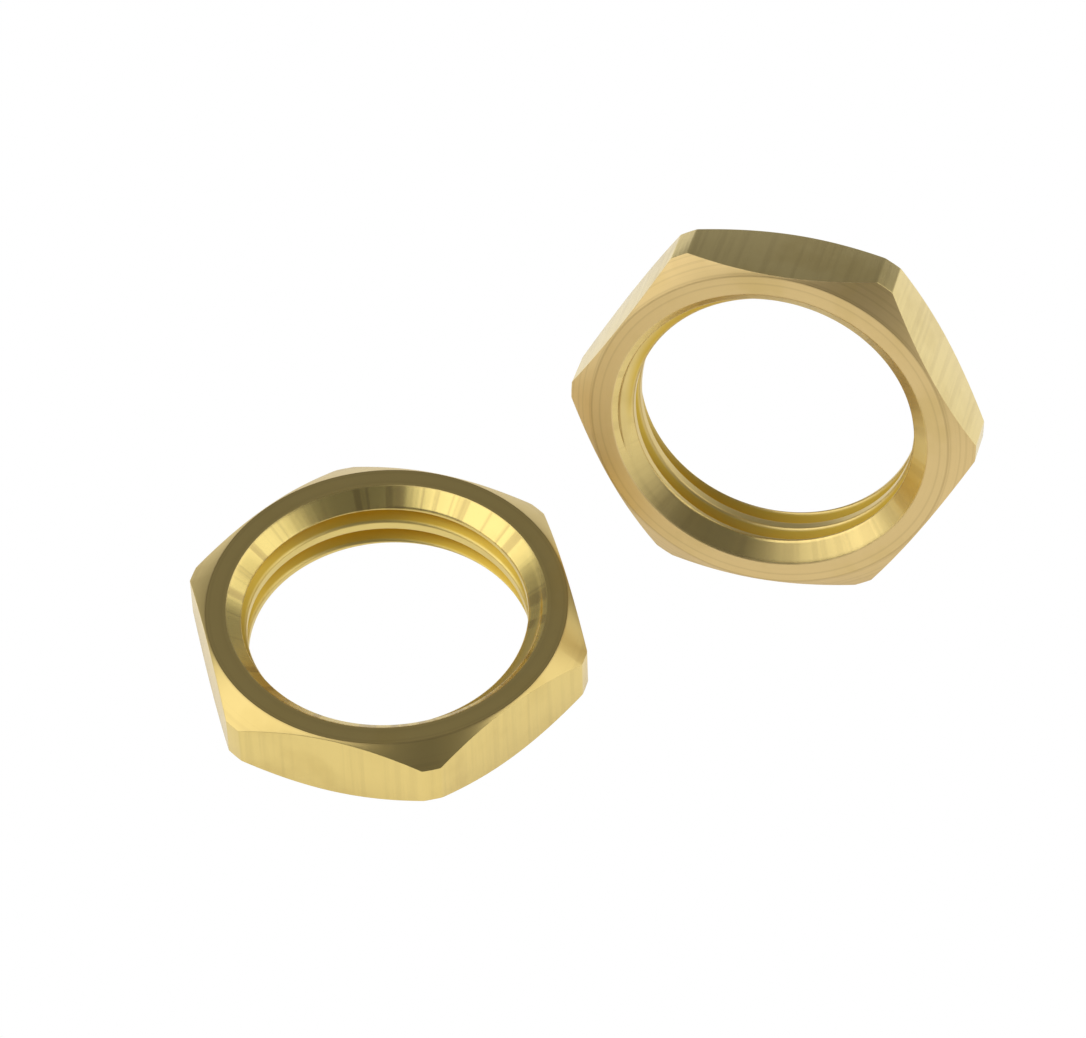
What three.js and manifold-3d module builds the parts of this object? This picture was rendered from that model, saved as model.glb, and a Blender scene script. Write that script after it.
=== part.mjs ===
// A pair of brass hexagon locknuts for M16 x 1.5 cable glands, in millimetres, +Z up.
// One nut lies on its bearing face. The other stands behind it on one of its six flats,
// leaning back, with its bore facing the front (-Y).

import * as THREE from 'three';
import { mergeVertices } from 'three/addons/utils/BufferGeometryUtils.js';
import Module from 'manifold-3d';

const wasm = await Module();
wasm.setup();

// Driving dimensions of one nut.
const ACROSS_FLATS = 19;
const THICKNESS = 4.2;
const CORNER_DIAMETER = 21.4; // the six corners are turned down to this
const FACE_DIAMETER = 18.8; // outer edge of the flat ring on each bearing face
const CHAMFER_ANGLE = 35.5; // degrees, measured from the bearing face
const THREAD_MAJOR = 16;
const THREAD_MINOR = 14.65; // inside the 6H limits of 14.376 to 14.676
const THREAD_PITCH = 1.5;
const THREAD_FLANK_ANGLE = 30; // degrees, half of the 60 degree profile
const MOUTH_DIAMETER = 16.7; // countersink at both ends of the bore
const MOUTH_DEPTH = 0.75;

// How the pair stands.
const LYING_TURN = -3.3; // degrees about Z, from flats facing front and back
const LEAN = 13; // degrees back from upright
const LEANING_OFFSET_X = 17.9; // from the axis of the lying nut
const LEANING_OFFSET_Y = 12.75;
const LYING_THREAD_START = -76; // degrees about the nut's axis, as the tap left it
const LEANING_THREAD_START = 111;

// Facets.
const OUTER_SEGMENTS = 72;
const BORE_SEGMENTS = 48;

const OVERSHOOT = 1; // how far a cutting tool runs past what it cuts
const GROOVE_OVERLAP = 0.15; // how far the thread tool reaches into the open bore

const BRASS_COLOR = 0xcaa84f;
const BRASS_ROUGHNESS = 0.32;

const degrees = THREE.MathUtils.degToRad;

function toManifold(geometry) {
  const bare = geometry.clone();
  bare.deleteAttribute('normal');
  bare.deleteAttribute('uv');
  const merged = mergeVertices(bare, 1e-5);
  return new wasm.Manifold(new wasm.Mesh({
    numProp: 3,
    vertProperties: Float32Array.from(merged.attributes.position.array),
    triVerts: Uint32Array.from(merged.index.array),
  }));
}

function toGeometry(solid) {
  const { vertProperties, triVerts } = solid.getMesh();
  const geometry = new THREE.BufferGeometry();
  geometry.setAttribute('position', new THREE.BufferAttribute(Float32Array.from(vertProperties), 3));
  geometry.setIndex(new THREE.BufferAttribute(Uint32Array.from(triVerts), 1));
  geometry.computeVertexNormals();
  return geometry;
}

// Turns a closed outline of [radius, height] pairs about Z.
function latheSolid(outline, segments) {
  const points = [...outline, outline[0]].map(([radius, height]) => new THREE.Vector2(radius, height));
  const geometry = new THREE.LatheGeometry(points, segments);
  geometry.rotateX(Math.PI / 2); // the lathe turns about Y
  return toManifold(geometry);
}

// Hexagon bar, with flats facing +Y and -Y.
function hexagonBar() {
  const cornerRadius = ACROSS_FLATS / Math.sqrt(3);
  const outline = new THREE.Shape();
  for (let corner = 0; corner < 6; corner += 1) {
    const angle = degrees(60 * corner);
    const draw = corner === 0 ? 'moveTo' : 'lineTo';
    outline[draw](cornerRadius * Math.cos(angle), cornerRadius * Math.sin(angle));
  }
  outline.closePath();
  const bar = new THREE.ExtrudeGeometry(outline, { depth: THICKNESS, bevelEnabled: false });
  bar.translate(0, 0, -THICKNESS / 2);
  return toManifold(bar);
}

// What the lathe leaves of the bar: a drum with a cone at each end.
function turnedEnvelope() {
  const cornerRadius = CORNER_DIAMETER / 2;
  const faceRadius = FACE_DIAMETER / 2;
  const half = THICKNESS / 2;
  const cone = (cornerRadius - faceRadius) * Math.tan(degrees(CHAMFER_ANGLE));
  return latheSolid([
    [0, -half],
    [faceRadius, -half],
    [cornerRadius, cone - half],
    [cornerRadius, half - cone],
    [faceRadius, half],
    [0, half],
  ], OUTER_SEGMENTS);
}

// Plain bore at the thread's minor diameter, opening out into a countersink at both ends.
function boreTool() {
  const bore = THREAD_MINOR / 2;
  const half = THICKNESS / 2;
  const slope = (MOUTH_DIAMETER / 2 - bore) / MOUTH_DEPTH;
  const end = half + OVERSHOOT;
  const endRadius = MOUTH_DIAMETER / 2 + slope * OVERSHOOT;
  return latheSolid([
    [0, -end],
    [endRadius, -end],
    [bore, MOUTH_DEPTH - half],
    [bore, half - MOUTH_DEPTH],
    [endRadius, end],
    [0, end],
  ], BORE_SEGMENTS);
}

// One right-handed helical ridge with the section of the thread groove.
function threadTool() {
  const major = THREAD_MAJOR / 2;
  const inner = THREAD_MINOR / 2 - GROOVE_OVERLAP;
  const rootHalf = THREAD_PITCH / 16; // the root flat is an eighth of the pitch
  const innerHalf = rootHalf + (major - inner) * Math.tan(degrees(THREAD_FLANK_ANGLE));
  const section = new THREE.Shape();
  section.moveTo(inner, -innerHalf);
  section.lineTo(major, -rootHalf);
  section.lineTo(major, rootHalf);
  section.lineTo(inner, innerHalf);
  section.closePath();

  // A straight ridge whose length is the angle it will be wound through.
  const turns = Math.ceil((THICKNESS + 2 * OVERSHOOT) / THREAD_PITCH);
  const ridge = new THREE.ExtrudeGeometry(section, {
    depth: turns * 2 * Math.PI,
    steps: turns * BORE_SEGMENTS,
    bevelEnabled: false,
  });
  const position = ridge.attributes.position;
  for (let i = 0; i < position.count; i += 1) {
    const radius = position.getX(i);
    const height = position.getY(i);
    const angle = position.getZ(i) - turns * Math.PI;
    const rise = THREAD_PITCH * angle / (2 * Math.PI);
    position.setXYZ(i, radius * Math.cos(angle), radius * Math.sin(angle), height + rise);
  }
  // Winding the ridge turns its faces inside out, so each triangle is listed backwards.
  for (let i = 0; i < position.count; i += 3) {
    const first = new THREE.Vector3().fromBufferAttribute(position, i);
    const last = new THREE.Vector3().fromBufferAttribute(position, i + 2);
    position.setXYZ(i, last.x, last.y, last.z);
    position.setXYZ(i + 2, first.x, first.y, first.z);
  }
  return toManifold(ridge);
}

// A whole nut, centred on the origin with its axis along Z.
function locknutGeometry(threadStart) {
  const blank = hexagonBar().intersect(turnedEnvelope());
  const thread = threadTool().rotate([0, 0, threadStart]);
  return toGeometry(blank.subtract(boreTool()).subtract(thread));
}

function locknut(name, threadStart) {
  const material = new THREE.MeshStandardMaterial({
    color: BRASS_COLOR,
    roughness: BRASS_ROUGHNESS,
    metalness: 1,
  });
  const mesh = new THREE.Mesh(locknutGeometry(threadStart), material);
  mesh.name = name;
  return mesh;
}

// Height of the leaning nut's centre when the back edge of its bottom flat is on the ground.
function leaningHeight() {
  const edgeInset = (ACROSS_FLATS - FACE_DIAMETER) / 2 * Math.tan(degrees(CHAMFER_ANGLE));
  const lean = degrees(LEAN);
  return ACROSS_FLATS / 2 * Math.cos(lean) + (THICKNESS / 2 - edgeInset) * Math.sin(lean);
}

const group = new THREE.Group();

const lying = locknut('lying_locknut', LYING_THREAD_START);
lying.rotation.z = degrees(LYING_TURN);
lying.position.z = THICKNESS / 2;
group.add(lying);

const leaning = locknut('leaning_locknut', LEANING_THREAD_START);
leaning.rotation.x = degrees(90 - LEAN);
leaning.position.set(LEANING_OFFSET_X, LEANING_OFFSET_Y, leaningHeight());
group.add(leaning);

// The origin is on the ground, under the middle of the pair.
const middle = new THREE.Box3().setFromObject(group, true).getCenter(new THREE.Vector3());
for (const nut of group.children) {
  nut.position.x -= middle.x;
  nut.position.y -= middle.y;
}

export default group;
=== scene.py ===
"""Two brass hexagon locknuts for an M16 cable gland, as a bright product picture.

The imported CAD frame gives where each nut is. Each CAD nut is replaced by a fine mesh of the same nut,
with rounded edges, a full helical thread and machined brass surfaces.
"""
import math

import bpy
import numpy as np
from mathutils import Matrix, Vector


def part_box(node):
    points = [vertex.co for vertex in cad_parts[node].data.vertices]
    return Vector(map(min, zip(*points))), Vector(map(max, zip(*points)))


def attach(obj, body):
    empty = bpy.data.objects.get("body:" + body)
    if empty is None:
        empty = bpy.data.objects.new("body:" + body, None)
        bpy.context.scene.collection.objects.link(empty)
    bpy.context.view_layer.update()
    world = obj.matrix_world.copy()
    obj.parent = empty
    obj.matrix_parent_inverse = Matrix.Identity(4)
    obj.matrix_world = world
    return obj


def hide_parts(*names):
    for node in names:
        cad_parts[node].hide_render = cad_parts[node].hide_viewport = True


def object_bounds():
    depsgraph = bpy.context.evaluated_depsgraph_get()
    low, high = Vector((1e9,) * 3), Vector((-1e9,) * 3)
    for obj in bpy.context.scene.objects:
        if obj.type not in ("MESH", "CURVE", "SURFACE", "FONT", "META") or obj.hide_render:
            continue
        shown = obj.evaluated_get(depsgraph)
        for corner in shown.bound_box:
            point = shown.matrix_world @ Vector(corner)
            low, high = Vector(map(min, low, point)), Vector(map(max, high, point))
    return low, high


MM = 0.001

# One nut, in millimetres, as the CAD model has it. The thickness comes from the frame.
ACROSS_FLATS = 19.0
CORNER_RADIUS = 10.7
FACE_RADIUS = 9.4
CHAMFER_ANGLE = math.radians(35.5)
THREAD_MAJOR_RADIUS = 8.0
THREAD_MINOR_RADIUS = 7.325
THREAD_PITCH = 1.5
ROOT_HALF_WIDTH = THREAD_PITCH / 16
FLANK_ANGLE = math.radians(30)
MOUTH_RADIUS = 8.35
MOUTH_DEPTH = 0.75
MOUTH_SLOPE = (MOUTH_RADIUS - THREAD_MINOR_RADIUS) / MOUTH_DEPTH
LYING_TURN = math.radians(-3.3)
LEAN = math.radians(13)
LYING_THREAD_START = math.radians(-76)
LEANING_THREAD_START = math.radians(111)

# Edge rounding, in millimetres. The lip is where the outside of the mesh hands over to the bore.
EDGE_ROUND = 0.055
CORNER_BLEND = 0.03
THREAD_BLEND = 0.14
MOUTH_BLEND = 0.12
LIP_DEPTH = 2.5 * EDGE_ROUND
MOST_OF_A_SIDE = 0.4  # the largest share of a side that a rounding takes

# Mesh density. Extra angles go where a flat meets a turned corner, up to so many degrees either side.
EVEN_ANGLES = 360
EDGE_ANGLES = 7
EDGE_ANGLES_SPREAD = 0.45
ARC_POINTS = 5
BORE_ROWS = 190

# Camera: where it stands as seen from the middle of the pair, in degrees and metres, and how far its aim
# is off that middle.
CAMERA_AZIMUTH = 15.2
CAMERA_ELEVATION = 48.06
CAMERA_ROLL = 2.15
CAMERA_DISTANCE = 307.4 * MM
AIM_RIGHT = -1.30 * MM
AIM_UP = -0.45 * MM
LENS = 199.0
SENSOR = 36.0
CLIP_START = 0.01
CLIP_END = 10.0

# Table, in metres. Its glow keeps the shadows on it pale where the brass mirrors them.
TABLE_REACH = 1.5
TABLE_GAP = 0.02 * MM
TABLE_ALBEDO = 0.35
TABLE_GLOW = 0.53
TABLE_ROUGHNESS = 0.9

# World brightness. It changes from front to back and from the horizon up to the ceiling, each over a range
# of how far a direction points back or up.
FRONT_HORIZON = 0.8
BACK_HORIZON = 0.32
HORIZON_CHANGE = (-0.2, 0.6)
FRONT_CEILING = 0.15
BACK_CEILING = 0.23
CEILING_CHANGE = (-0.5, 0.5)
CEILING_RISE = (0.05, 0.55)

# Softboxes: azimuth, elevation and roll in degrees, width and height in metres, and radiance as the nuts
# see it, where 1 looks pure white in a perfect mirror. The table lamp lights the table and isn't mirrored.
SOFTBOX_DISTANCE = 0.6
LEFT_SOFTBOX = (-67, 45, -20, 0.49, 0.76, 1.36)
RIGHT_SOFTBOX = (112, 33, 0, 0.68, 0.46, 1.12)
TABLE_LAMP = (0, 89, 0, 0.5, 0.5, 3.5)

# Where each kind of surface begins, and where it is fully itself. Facing is the part of the normal that
# lies along the nut's axis. The rest are distances in millimetres.
TURNED_FACING = (0.35, 0.6)
END_RADIUS = (MOUTH_RADIUS - 0.08, MOUTH_RADIUS)
FLAT_RADIUS = (MOUTH_RADIUS, FACE_RADIUS)
THREAD_BELOW_MOUTH = (0.02, 0.08)
# The groove spans also place the painted shade in the thread grooves: past the crest, and deeper from the
# ends.
GROOVE_PAST_CREST = (0.035, 0.175)
GROOVE_FROM_END = (0.5, 0.85)
# FROM_RIM sets the painted shade line round the end face's rim: full out to the first distance, gone by
# the second.
FROM_RIM = (0.02, 0.09)

# Noise of each kind of mark: scale, detail and roughness. Then the levels between which it comes to show.
RING_NOISE = (5200.0, 3.0, 0.6)
STREAK_NOISE = (2600.0, 3.0, 0.6)
CHATTER_NOISE = (9.0, 2.0, 0.6)
BLOTCH_NOISE = (330.0, 3.0, 0.55)
RINGS_SHOW = (0.5, 0.68)
STREAKS_SHOW = (0.45, 0.65)
CHATTER_SHOWS = (0.5, 0.62)
BLOTCHES_SHOW = (0.45, 0.75)
STREAK_STRETCH = 0.03

# Linear colours that both nuts share, and how strongly each kind of mark tells.
# Painted shade: the thread grooves deep in the bore get this darker, more saturated colour, standing for
# shade and light thrown back and forth there.
GROOVE_SHADE_COLOR = (0.71, 0.5, 0.08, 1)
PATINA_COLOR = (0.6, 0.44, 0.14, 1)
# Colour of the darker tool marks, and of the painted shade line round each end face's rim.
MARK_AND_SHADE_COLOR = (0.36, 0.25, 0.1, 1)
PATINA = 0.35
# Strength of the painted shade line round each end face's rim, where it meets the chamfer.
RIM_SHADE_LINE = 0.35
BLOTCH_ROUGHNESS = 0.1
THREAD_ROUGHNESS = 0.12
GROOVE_ROUGHNESS = 0.12
STREAK_RELIEF = 2.2
CHATTER_RELIEF = 2.5
RELIEF_STRENGTH = 0.4
RELIEF_HEIGHT = 0.01 * MM

# How each nut looks: colours, roughness and marks. Its bore, end and flat colours hold painted light, some
# set lighter and some darker than one brass, to stand for how that nut is lit. "shift" moves its marks, so
# that the two nuts do not match.
LYING_FINISH_AND_LIGHT = {
    "shift": (0.013, 0.009, -0.013),
    "bore_color": (0.79, 0.63, 0.225, 1),
    "bore_roughness": 0.2,
    "bore_marks": 0.5,
    "end_color": (0.69, 0.53, 0.2, 1),
    "end_roughness": 0.25,
    "end_marks": 0.12,
    "flat_color": (0.8, 0.62, 0.225, 1),
    "flat_marks": 0.1,
}
LEANING_FINISH_AND_LIGHT = {
    "shift": (0.041, 0.029, -0.041),
    "bore_color": (0.76, 0.59, 0.235, 1),
    "bore_roughness": 0.2,
    "bore_marks": 0.15,
    "end_color": (0.73, 0.545, 0.25, 1),
    "end_roughness": 0.38,
    "end_marks": 0.3,
    "flat_color": (0.84, 0.68, 0.3, 1),
    "flat_marks": 0.15,
}

# What the frame says.
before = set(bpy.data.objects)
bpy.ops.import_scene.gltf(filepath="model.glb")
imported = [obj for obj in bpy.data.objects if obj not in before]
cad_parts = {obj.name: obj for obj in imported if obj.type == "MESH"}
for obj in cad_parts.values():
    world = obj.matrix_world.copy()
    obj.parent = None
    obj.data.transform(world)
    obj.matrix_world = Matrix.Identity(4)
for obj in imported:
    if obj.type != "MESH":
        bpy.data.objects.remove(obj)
cad_low, cad_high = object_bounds()
lying_low, lying_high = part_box("lying_locknut")
MIDDLE = (cad_low + cad_high) / 2
THICKNESS = (lying_high.z - lying_low.z) / MM
HALF_THICKNESS = THICKNESS / 2


# ---------------------------------------------------------------- nut shape

def hexagon_radius(angle):
    """Distance from the axis to the hexagon's side, with flats facing +Y and -Y."""
    sixth = math.pi / 3
    return ACROSS_FLATS / 2 / np.cos(np.mod(angle, sixth) - sixth / 2)


def blended_min(a, b, width):
    """The smaller of a and b, rounded over where they are nearly equal."""
    overlap = np.maximum(width - np.abs(a - b), 0) / width
    return np.minimum(a, b) - overlap ** 2 * width / 4


def blended_max(a, b, width):
    """The larger of a and b, filled in where they are nearly equal."""
    return -blended_min(-a, -b, width)


def outer_radius(angle):
    """Distance from the axis to the outside of the nut: a flat or a turned corner."""
    return blended_min(hexagon_radius(angle), CORNER_RADIUS, CORNER_BLEND)


def thread_radius(height, angle, start):
    """Radius of a right-hand internal thread, at a height on its axis and an angle round it."""
    phase = height / THREAD_PITCH - (angle - start) / (2 * math.pi)
    from_root = np.abs(np.mod(phase + 0.5, 1) - 0.5) * THREAD_PITCH
    flank = THREAD_MAJOR_RADIUS - (from_root - ROOT_HALF_WIDTH) / math.tan(FLANK_ANGLE)
    root_rounded = blended_min(flank, THREAD_MAJOR_RADIUS, THREAD_BLEND)
    return blended_max(root_rounded, THREAD_MINOR_RADIUS, THREAD_BLEND)


def bore_radius(height, angle, start):
    """The bore's surface: the thread, cut back by the countersink at each end."""
    depth = HALF_THICKNESS - np.abs(height)
    mouth = MOUTH_RADIUS - depth * MOUTH_SLOPE
    return blended_max(mouth, thread_radius(height, angle, start), MOUTH_BLEND)


def rounded_outline(corners):
    """Points along an open outline of (radius, height) corners, with every inner corner rounded.

    Each corner may be an array over the angles, so one call makes the outline at every angle.
    """
    points = [corners[0]]
    for before, corner, after in zip(corners, corners[1:], corners[2:]):
        back = before - corner
        ahead = after - corner
        back_length = np.linalg.norm(back, axis=0)
        ahead_length = np.linalg.norm(ahead, axis=0)
        back = back / back_length
        ahead = ahead / ahead_length
        half_angle = np.arccos(np.clip((back * ahead).sum(0), -1, 1)) / 2
        most = MOST_OF_A_SIDE * np.minimum(back_length, ahead_length)
        reach = np.minimum(EDGE_ROUND / np.tan(half_angle), most)
        start = corner + back * reach
        end = corner + ahead * reach
        for step in range(ARC_POINTS):
            t = step / (ARC_POINTS - 1)
            points.append((1 - t) ** 2 * start + 2 * t * (1 - t) * corner + t ** 2 * end)
    points.append(corners[-1])
    return points


def nut_angles():
    """Angles round the nut: even ones, and extra ones where each flat meets a turned corner."""
    even = np.arange(EVEN_ANGLES) * 2 * math.pi / EVEN_ANGLES
    edge = math.pi / 6 - math.acos(ACROSS_FLATS / 2 / CORNER_RADIUS)
    near = np.radians(np.linspace(-EDGE_ANGLES_SPREAD, EDGE_ANGLES_SPREAD, EDGE_ANGLES))
    extra = [
        corner * math.pi / 3 + side * edge + near
        for corner in range(6)
        for side in (-1, 1)
    ]
    return np.unique(np.mod(np.concatenate([even, *extra]), 2 * math.pi).round(6))


def nut_section(angle, start):
    """The closed section of the nut at each angle, as a list of (radius, height) arrays."""
    radius = outer_radius(angle)
    same = np.ones_like(angle)
    drop = (radius - FACE_RADIUS) * math.tan(CHAMFER_ANGLE)
    lip_radius = MOUTH_RADIUS - LIP_DEPTH * MOUTH_SLOPE
    lip_height = HALF_THICKNESS - LIP_DEPTH
    corners_up = [
        np.stack([lip_radius * same, lip_height * same]),
        np.stack([MOUTH_RADIUS * same, HALF_THICKNESS * same]),
        np.stack([FACE_RADIUS * same, HALF_THICKNESS * same]),
        np.stack([radius, HALF_THICKNESS - drop]),
    ]
    corners_down = [corner * np.array([[1], [-1]]) for corner in reversed(corners_up)]
    outside = rounded_outline(corners_up + corners_down)
    bore = [
        np.stack([bore_radius(height, angle, start), height * same])
        for height in np.linspace(-lip_height, lip_height, BORE_ROWS)[1:-1]
    ]
    return outside + bore


def nut_mesh(name, thread_start):
    """A nut centred on the origin with its axis along Z, in metres."""
    angle = nut_angles()
    section = np.array(nut_section(angle, thread_start))
    rows, _, columns = section.shape
    places = np.stack([
        section[:, 0] * np.cos(angle),
        section[:, 0] * np.sin(angle),
        section[:, 1],
    ], axis=-1) * MM
    faces = []
    for row in range(rows):
        next_row = (row + 1) % rows
        for column in range(columns):
            next_column = (column + 1) % columns
            faces.append((
                row * columns + column,
                next_row * columns + column,
                next_row * columns + next_column,
                row * columns + next_column,
            ))
    mesh = bpy.data.meshes.new(name)
    mesh.from_pydata(places.reshape(-1, 3).tolist(), [], faces)
    mesh.validate()
    mesh.shade_smooth()
    return mesh


def add_nut(node, body, turn, thread_start, material):
    """Puts a fine nut where a CAD node is and makes it stand for that node."""
    low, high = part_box(node)
    nut = bpy.data.objects.new(node + "_fine", nut_mesh(node + "_fine", thread_start))
    bpy.context.scene.collection.objects.link(nut)
    nut.matrix_world = Matrix.Translation((low + high) / 2) @ turn
    nut.data.materials.append(material)
    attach(nut, body)
    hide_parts(node)


# ---------------------------------------------------------------- materials

class Nodes:
    """Short calls for building the nodes of one material or world."""

    def __init__(self, owner):
        owner.use_nodes = True
        self.tree = owner.node_tree
        self.shader = self.tree.nodes.get("Principled BSDF")

    def put(self, value, socket):
        if isinstance(value, bpy.types.NodeSocket):
            self.tree.links.new(value, socket)
        else:
            socket.default_value = value

    def new(self, kind, *values, **settings):
        node = self.tree.nodes.new(kind)
        for key, value in settings.items():
            setattr(node, key, value)
        for socket, value in zip(node.inputs, values):
            self.put(value, socket)
        return node

    def math(self, operation, *values):
        return self.new("ShaderNodeMath", *values, operation=operation).outputs[0]

    def product(self, first, *others):
        for value in others:
            first = self.math("MULTIPLY", first, value)
        return first

    def sum(self, first, *others):
        for value in others:
            first = self.math("ADD", first, value)
        return first

    def invert(self, value):
        return self.math("SUBTRACT", 1.0, value)

    def vector_math(self, operation, *values):
        return self.new("ShaderNodeVectorMath", *values, operation=operation).outputs

    def split(self, vector):
        return self.new("ShaderNodeSeparateXYZ", vector).outputs

    def ramp(self, value, span, to_low=0.0, to_high=1.0):
        """A smooth change from to_low to to_high, as the value goes through the span."""
        node = self.new("ShaderNodeMapRange", value, *span, to_low, to_high)
        node.interpolation_type = "SMOOTHSTEP"
        return node.outputs[0]

    def ramp_mm(self, value, span, to_low=0.0, to_high=1.0):
        """The same, for a value in metres and a span in millimetres."""
        low, high = span
        return self.ramp(value, (low * MM, high * MM), to_low, to_high)

    def noise(self, vector, scale, detail, roughness):
        node = self.new("ShaderNodeTexNoise")
        self.put(vector, node.inputs["Vector"])
        node.inputs["Scale"].default_value = scale
        node.inputs["Detail"].default_value = detail
        node.inputs["Roughness"].default_value = roughness
        return node.outputs["Fac"]

    def mix_color(self, factor, a, b):
        node = self.tree.nodes.new("ShaderNodeMix")
        node.data_type = "RGBA"
        for value, index in ((factor, 0), (a, 6), (b, 7)):
            self.put(value, node.inputs[index])
        return node.outputs[2]


class NutSurface:
    """Where each kind of machined surface is on a nut, as masks from 0 to 1."""

    def __init__(self, n):
        place = n.new("ShaderNodeTexCoord").outputs
        self.place = place["Object"]
        self.across = n.vector_math("MULTIPLY", self.place, (1, 1, 0))[0]
        self.radius = n.vector_math("LENGTH", self.across)["Value"]
        facing_axis = n.math("ABSOLUTE", n.split(place["Normal"])[2])
        from_middle = n.math("ABSOLUTE", n.split(self.place)[2])

        turned = n.ramp(facing_axis, TURNED_FACING)
        beyond_mouth = n.ramp_mm(self.radius, END_RADIUS)
        inside = n.invert(beyond_mouth)
        outside = n.ramp_mm(self.radius, FLAT_RADIUS)
        mouth_depth = n.math("DIVIDE", n.math("SUBTRACT", MOUTH_RADIUS * MM, self.radius), MOUTH_SLOPE)
        from_end = n.math("SUBTRACT", HALF_THICKNESS * MM, from_middle)
        below_mouth = n.math("SUBTRACT", from_end, mouth_depth)
        past_crest = n.math("SUBTRACT", self.radius, THREAD_MINOR_RADIUS * MM)

        self.end = n.product(turned, beyond_mouth)
        self.flat = n.product(n.invert(turned), outside)
        self.threaded = n.product(n.ramp_mm(below_mouth, THREAD_BELOW_MOUTH), inside)
        self.groove = n.product(self.threaded, n.ramp_mm(past_crest, GROOVE_PAST_CREST),
                                n.ramp_mm(from_end, GROOVE_FROM_END))
        self.countersink = n.math("SUBTRACT", inside, self.threaded)


class ToolMarks:
    """Noise patterns that run as each tool did, and slow blotches over the whole nut."""

    def __init__(self, n, surface, shift):
        shifted = n.vector_math("ADD", surface.place, shift)[0]
        ring_place = n.new("ShaderNodeCombineXYZ", surface.radius, shift[0], 0.0).outputs[0]
        self.rings = n.noise(ring_place, *RING_NOISE)
        along = n.vector_math("MULTIPLY", shifted, (1, 1, STREAK_STRETCH))[0]
        self.streaks = n.noise(along, *STREAK_NOISE)
        spoke = n.vector_math("NORMALIZE", surface.across)[0]
        self.chatter = n.noise(spoke, *CHATTER_NOISE)
        self.blotches = n.noise(shifted, *BLOTCH_NOISE)


def brass_color(n, surface, marks, finish_and_light):
    """Each surface's colour, with patches of patina and darker tool marks, and with painted shade deep in
    the thread grooves and as a line round each end face's rim.
    """
    # The bore, flat and end colours differ per nut partly as painted light, set lighter and darker for how
    # each nut is lit.
    color = n.mix_color(surface.flat, finish_and_light["bore_color"], finish_and_light["flat_color"])
    color = n.mix_color(surface.end, color, finish_and_light["end_color"])
    # Painted shade: the thread grooves deep in the bore are darker and more saturated.
    color = n.mix_color(surface.groove, color, GROOVE_SHADE_COLOR)
    color = n.mix_color(n.ramp(marks.blotches, BLOTCHES_SHOW, 0.0, PATINA), color, PATINA_COLOR)
    from_rim = n.math("ABSOLUTE", n.math("SUBTRACT", surface.radius, FACE_RADIUS * MM))
    darkening = n.sum(
        n.product(surface.end, n.ramp(marks.rings, RINGS_SHOW, 0.0, finish_and_light["end_marks"])),
        n.product(surface.flat, n.ramp(marks.streaks, STREAKS_SHOW, 0.0, finish_and_light["flat_marks"])),
        n.product(surface.countersink, n.ramp(marks.chatter, CHATTER_SHOWS, 0.0, finish_and_light["bore_marks"])),
        # Painted shade: a dark line round each end face's rim, where it meets the chamfer.
        n.product(surface.end, n.ramp_mm(from_rim, FROM_RIM, RIM_SHADE_LINE, 0.0)),
    )
    return n.mix_color(darkening, color, MARK_AND_SHADE_COLOR)


def brass_roughness(n, surface, marks, finish_and_light):
    """Rougher on the turned ends and down in the thread, and a little uneven all over."""
    return n.sum(
        finish_and_light["bore_roughness"],
        n.product(marks.blotches, BLOTCH_ROUGHNESS),
        n.product(surface.end, finish_and_light["end_roughness"] - finish_and_light["bore_roughness"]),
        n.product(surface.threaded, THREAD_ROUGHNESS),
        n.product(surface.groove, GROOVE_ROUGHNESS),
    )


def brass_relief(n, surface, marks):
    """The surface normal, with the tool marks as a slight relief."""
    height = n.sum(
        n.product(marks.rings, surface.end),
        n.product(marks.streaks, surface.flat, STREAK_RELIEF),
        n.product(marks.chatter, surface.countersink, CHATTER_RELIEF),
    )
    bump = n.new("ShaderNodeBump")
    bump.inputs["Strength"].default_value = RELIEF_STRENGTH
    bump.inputs["Distance"].default_value = RELIEF_HEIGHT
    n.put(height, bump.inputs["Height"])
    return bump.outputs[0]


def brass(name, finish_and_light):
    """Machined brass: bright in the bore, satin on the turned ends, drawing marks along the flats."""
    material = bpy.data.materials.new(name)
    n = Nodes(material)
    surface = NutSurface(n)
    marks = ToolMarks(n, surface, finish_and_light["shift"])
    n.shader.inputs["Metallic"].default_value = 1.0
    n.put(brass_color(n, surface, marks, finish_and_light), n.shader.inputs["Base Color"])
    n.put(brass_roughness(n, surface, marks, finish_and_light), n.shader.inputs["Roughness"])
    n.put(brass_relief(n, surface, marks), n.shader.inputs["Normal"])
    return material


def table_material():
    """White table. The brass mirrors it as it is lit; the camera sees it bleached to plain white."""
    material = bpy.data.materials.new("white_table")
    n = Nodes(material)
    n.shader.inputs["Base Color"].default_value = (TABLE_ALBEDO, TABLE_ALBEDO, TABLE_ALBEDO, 1)
    n.shader.inputs["Roughness"].default_value = TABLE_ROUGHNESS
    n.shader.inputs["Specular IOR Level"].default_value = 0.0
    n.shader.inputs["Emission Color"].default_value = (1, 1, 1, 1)
    n.shader.inputs["Emission Strength"].default_value = TABLE_GLOW
    bleached = n.new("ShaderNodeEmission", (1, 1, 1, 1), 1.0).outputs[0]
    seen = n.new("ShaderNodeLightPath").outputs["Is Camera Ray"]
    mixed = n.new("ShaderNodeMixShader", seen, n.shader.outputs[0], bleached).outputs[0]
    n.put(mixed, n.tree.nodes["Material Output"].inputs["Surface"])
    return material


# ---------------------------------------------------------------- studio

def direction(azimuth, elevation):
    """Azimuth 0 is the front, -Y, and grows towards +X. Both are in degrees."""
    a = math.radians(azimuth)
    e = math.radians(elevation)
    return Vector((math.sin(a) * math.cos(e), -math.cos(a) * math.cos(e), math.sin(e)))


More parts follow.
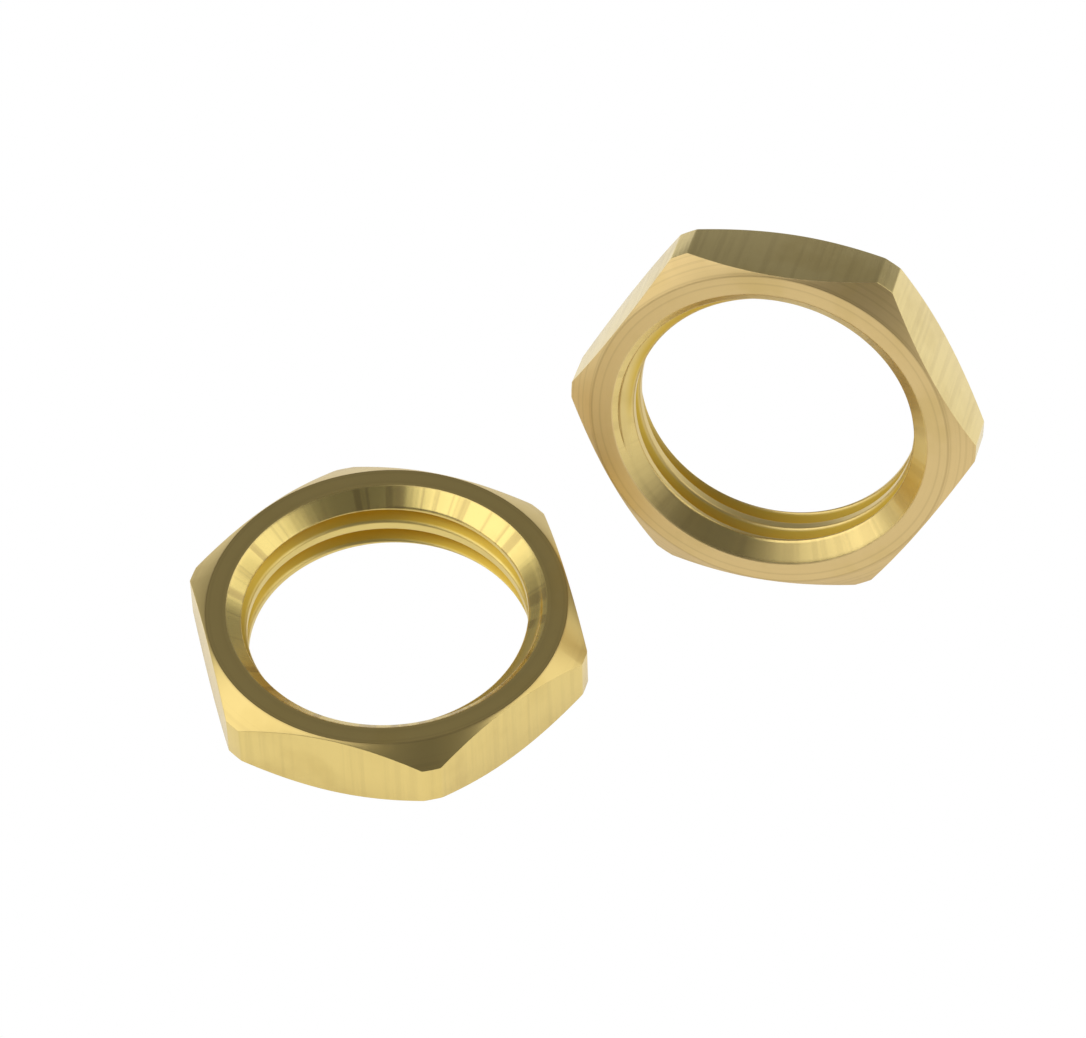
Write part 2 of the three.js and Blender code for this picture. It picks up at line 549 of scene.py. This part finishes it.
def add_softbox(name, azimuth, elevation, roll, width, height, radiance):
    """A rectangular light that faces the middle of the pair, of a given brightness as seen from it.

    Its roll turns it about the line from the pair.
    """
    light = bpy.data.lights.new(name, "AREA")
    light.shape = "RECTANGLE"
    light.size = width
    light.size_y = height
    light.energy = radiance * math.pi * width * height
    lamp = bpy.data.objects.new(name, light)
    bpy.context.scene.collection.objects.link(lamp)
    away = direction(azimuth, elevation)
    facing = away.to_track_quat("Z", "Y").to_matrix().to_4x4()
    rolled = facing @ Matrix.Rotation(math.radians(roll), 4, "Z")
    lamp.matrix_world = Matrix.Translation(MIDDLE + away * SOFTBOX_DISTANCE) @ rolled
    return lamp


def add_world():
    """Dim studio above, with a bright band round the horizon that is weaker behind the pair.

    The camera sees it as plain white.
    """
    world = bpy.data.worlds.new("studio")
    bpy.context.scene.world = world
    n = Nodes(world)
    _, backward, upward = n.split(n.new("ShaderNodeTexCoord").outputs["Generated"])
    horizon = n.ramp(backward, HORIZON_CHANGE, FRONT_HORIZON, BACK_HORIZON)
    ceiling = n.ramp(backward, CEILING_CHANGE, FRONT_CEILING, BACK_CEILING)
    rise = n.ramp(upward, CEILING_RISE)
    level = n.sum(n.product(horizon, n.invert(rise)), n.product(ceiling, rise))
    seen = n.new("ShaderNodeLightPath").outputs["Is Camera Ray"]
    background = n.tree.nodes["Background"]
    background.inputs["Color"].default_value = (1, 1, 1, 1)
    n.put(n.math("MAXIMUM", level, seen), background.inputs["Strength"])


def add_table():
    """A white square, a hair below the nuts so that their undersides do not flicker against it."""
    corners = [(-1, -1), (1, -1), (1, 1), (-1, 1)]
    mesh = bpy.data.meshes.new("table")
    mesh.from_pydata([(x * TABLE_REACH, y * TABLE_REACH, 0) for x, y in corners], [], [(0, 1, 2, 3)])
    table = bpy.data.objects.new("table", mesh)
    bpy.context.scene.collection.objects.link(table)
    table.data.materials.append(table_material())
    table.location.z = -TABLE_GAP


def add_camera():
    """A long lens that looks down on the pair from the front right, very slightly tilted."""
    data = bpy.data.cameras.new("camera")
    data.lens = LENS
    data.sensor_width = SENSOR
    data.clip_start = CLIP_START
    data.clip_end = CLIP_END
    camera = bpy.data.objects.new("camera", data)
    bpy.context.scene.collection.objects.link(camera)
    back = direction(CAMERA_AZIMUTH, CAMERA_ELEVATION)
    level_right = direction(CAMERA_AZIMUTH + 90, 0)
    level_up = back.cross(level_right)
    roll = math.radians(CAMERA_ROLL)
    right = level_right * math.cos(roll) - level_up * math.sin(roll)
    up = back.cross(right)
    aim = MIDDLE + right * AIM_RIGHT + up * AIM_UP
    axes = Matrix((right, up, back)).transposed().to_4x4()
    camera.matrix_world = Matrix.Translation(aim + back * CAMERA_DISTANCE) @ axes
    bpy.context.scene.camera = camera


# ---------------------------------------------------------------- scene

add_camera()
add_nut("lying_locknut", "lying", Matrix.Rotation(LYING_TURN, 4, "Z"), LYING_THREAD_START,
        brass("brass_lying", LYING_FINISH_AND_LIGHT))
add_nut("leaning_locknut", "leaning", Matrix.Rotation(math.pi / 2 - LEAN, 4, "X"), LEANING_THREAD_START,
        brass("brass_leaning", LEANING_FINISH_AND_LIGHT))
add_table()
add_world()
add_softbox("left_softbox", *LEFT_SOFTBOX)
add_softbox("right_softbox", *RIGHT_SOFTBOX)
table_lamp = add_softbox("table_lamp", *TABLE_LAMP)
table_lamp.visible_glossy = False
bpy.context.scene.view_settings.view_transform = "Standard"
